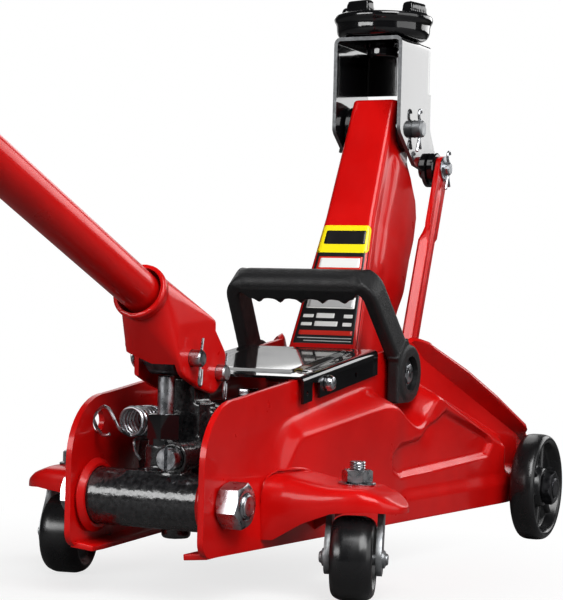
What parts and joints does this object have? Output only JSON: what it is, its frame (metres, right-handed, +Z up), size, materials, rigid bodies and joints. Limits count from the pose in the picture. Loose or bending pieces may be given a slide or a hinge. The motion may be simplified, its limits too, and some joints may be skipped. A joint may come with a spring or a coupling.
{
  "type": "trolley jack",
  "caption": "Low hydraulic floor jack on wheels: pumping the long handle pushes a ram that raises a levelled saddle on a lift arm.",
  "frame": {"origin": "on the floor under the middle of the whole jack, handle included", "axes": "+X towards the front wheels along the jack, +Y to its left, +Z up"},
  "size_m": [0.7244, 0.2074, 0.32],
  "materials": {
    "red_paint": "glossy red enamel",
    "black_paint": "glossy black enamel",
    "black_casting": "rough black painted casting",
    "zinc": "zinc plated",
    "chrome": "polished",
    "dark_steel": "oiled dark steel",
    "grey_steel": "plain pressed steel",
    "wheel_black": "black, satin tread",
    "black_plastic": "fine grained"
  },
  "bodies": {
    "chassis": {"left_side_plate": "red_paint", "right_side_plate": "red_paint", "left_caster_bracket": "red_paint", "right_caster_bracket": "red_paint", "left_caster_bolt": "zinc", "right_caster_bolt": "zinc", "left_caster_nut": "zinc", "right_caster_nut": "zinc", "left_axle_nut": "dark_steel", "right_axle_nut": "dark_steel", "left_cover_screw": "zinc", "right_cover_screw": "zinc", "left_link_stub": "dark_steel", "right_link_stub": "dark_steel", "front_axle": "grey_steel", "pump_block": "black_casting", "gland_nut": "black_paint", "reservoir_cylinder": "black_paint", "cylinder_cap": "dark_steel", "oil_plug": "zinc", "trunnion_bolt": "zinc", "trunnion_nut": "zinc", "fulcrum_pin": "dark_steel", "cover_plate": "black_paint", "arm_pivot_shaft": "dark_steel", "return_spring": "zinc"},
    "arm": {"lift_arm": "red_paint", "crank_pin": "dark_steel"},
    "saddle_mount": {"saddle_bracket": "black_paint", "main_pin": "dark_steel", "left_arm_spacer": "black_paint", "right_arm_spacer": "black_paint", "left_link_spacer": "black_paint", "right_link_spacer": "black_paint", "left_link_pin": "dark_steel", "right_link_pin": "dark_steel"},
    "saddle_cup": {"saddle": "black_casting"},
    "left_link": {"left_link_rod": "red_paint"},
    "right_link": {"right_link_rod": "red_paint"},
    "ram_rod": {"ram": "chrome", "ram_yoke": "dark_steel"},
    "pump_lever": {"handle_socket": "red_paint", "roller_axle": "dark_steel"},
    "pump_plunger": {"plunger": "chrome"},
    "pump_roller": {"roller": "dark_steel"},
    "long_handle": {"handle_lower_tube": "red_paint", "handle_upper_tube": "red_paint", "handle_grip": "black_plastic"},
    "release_screw": {"release_valve": "zinc"},
    "carry_grip": {"carry_handle": "black_plastic", "left_carry_screw": "zinc", "right_carry_screw": "zinc"},
    "left_caster_yoke": {"left_caster_fork": "grey_steel", "left_caster_axle": "grey_steel"},
    "left_caster_roll": {"left_caster_wheel": "wheel_black"},
    "left_front_roll": {"left_front_wheel": "wheel_black"},
    "right_caster_yoke": {"right_caster_fork": "grey_steel", "right_caster_axle": "grey_steel"},
    "right_caster_roll": {"right_caster_wheel": "wheel_black"},
    "right_front_roll": {"right_front_wheel": "wheel_black"}
  },
  "joints": [
    {"name": "arm_lift", "type": "hinge", "parent": "chassis", "child": "arm", "pos_m": [0.20541, 0, 0.102], "axis": [0, -1, 0], "range_deg": [-84, 0]},
    {"name": "bracket_level", "type": "hinge", "parent": "arm", "child": "saddle_mount", "pos_m": [0.27341, 0, 0.244], "axis": [0, -1, 0], "range_deg": [0, 84]},
    {"name": "saddle_swivel", "type": "hinge", "parent": "saddle_mount", "child": "saddle_cup", "pos_m": [0.27341, 0, 0.3], "axis": [0, 0, 1], "continuous": true},
    {"name": "left_link_swing", "type": "hinge", "parent": "chassis", "child": "left_link", "pos_m": [0.23341, 0.033, 0.0805], "axis": [0, -1, 0], "range_deg": [-84, 0]},
    {"name": "right_link_swing", "type": "hinge", "parent": "chassis", "child": "right_link", "pos_m": [0.23341, -0.033, 0.0805], "axis": [0, -1, 0], "range_deg": [-84, 0]},
    {"name": "ram_push", "type": "slide", "parent": "chassis", "child": "ram_rod", "axis": [1, 0, 0], "range_m": [-0.057, 0]},
    {"name": "pump_stroke", "type": "hinge", "parent": "chassis", "child": "pump_lever", "pos_m": [0.04441, 0, 0.105], "axis": [0, 1, 0], "range_deg": [-20, 20]},
    {"name": "plunger_stroke", "type": "slide", "parent": "chassis", "child": "pump_plunger", "axis": [0, 0, 1], "range_m": [-0.0095, 0.0095]},
    {"name": "roller_spin", "type": "hinge", "parent": "pump_lever", "child": "pump_roller", "pos_m": [0.01741, 0, 0.1125], "axis": [0, 1, 0], "continuous": true},
    {"name": "handle_pull", "type": "slide", "parent": "pump_lever", "child": "long_handle", "axis": [-0.9212, 0, 0.3891], "range_m": [0, 0.02]},
    {"name": "release_turn", "type": "hinge", "parent": "chassis", "child": "release_screw", "pos_m": [0.01041, -0.012, 0.0664], "axis": [-1, 0, 0], "range_deg": [0, 360]},
    {"name": "carry_fold", "type": "hinge", "parent": "chassis", "child": "carry_grip", "pos_m": [0.20541, 0, 0.102], "axis": [0, -1, 0], "range_deg": [-33, 5]},
    {"name": "left_caster_swivel", "type": "hinge", "parent": "chassis", "child": "left_caster_yoke", "pos_m": [0.06641, 0.078, 0.048], "axis": [0, 0, 1], "continuous": true},
    {"name": "left_caster_spin", "type": "hinge", "parent": "left_caster_yoke", "child": "left_caster_roll", "pos_m": [0.0576, 0.07613, 0.02], "axis": [-0.2079, 0.9781, 0], "continuous": true},
    {"name": "right_caster_swivel", "type": "hinge", "parent": "chassis", "child": "right_caster_yoke", "pos_m": [0.06641, -0.078, 0.048], "axis": [0, 0, 1], "continuous": true},
    {"name": "right_caster_spin", "type": "hinge", "parent": "right_caster_yoke", "child": "right_caster_roll", "pos_m": [0.05785, -0.08078, 0.02], "axis": [-0.309, 0.9511, 0], "continuous": true},
    {"name": "left_front_spin", "type": "hinge", "parent": "chassis", "child": "left_front_roll", "pos_m": [0.33041, 0.084, 0.0318], "axis": [0, 1, 0], "continuous": true},
    {"name": "right_front_spin", "type": "hinge", "parent": "chassis", "child": "right_front_roll", "pos_m": [0.33041, -0.084, 0.0318], "axis": [0, 1, 0], "continuous": true}
  ],
  "couplings": [
    {"joint": "bracket_level", "follows": "arm_lift", "ratio": -1},
    {"joint": "left_link_swing", "follows": "arm_lift", "ratio": 1},
    {"joint": "right_link_swing", "follows": "arm_lift", "ratio": 1},
    {"joint": "ram_push", "follows": "arm_lift", "m_per_rad": 0.0383},
    {"joint": "plunger_stroke", "follows": "pump_stroke", "m_per_rad": 0.0265}
  ]
}
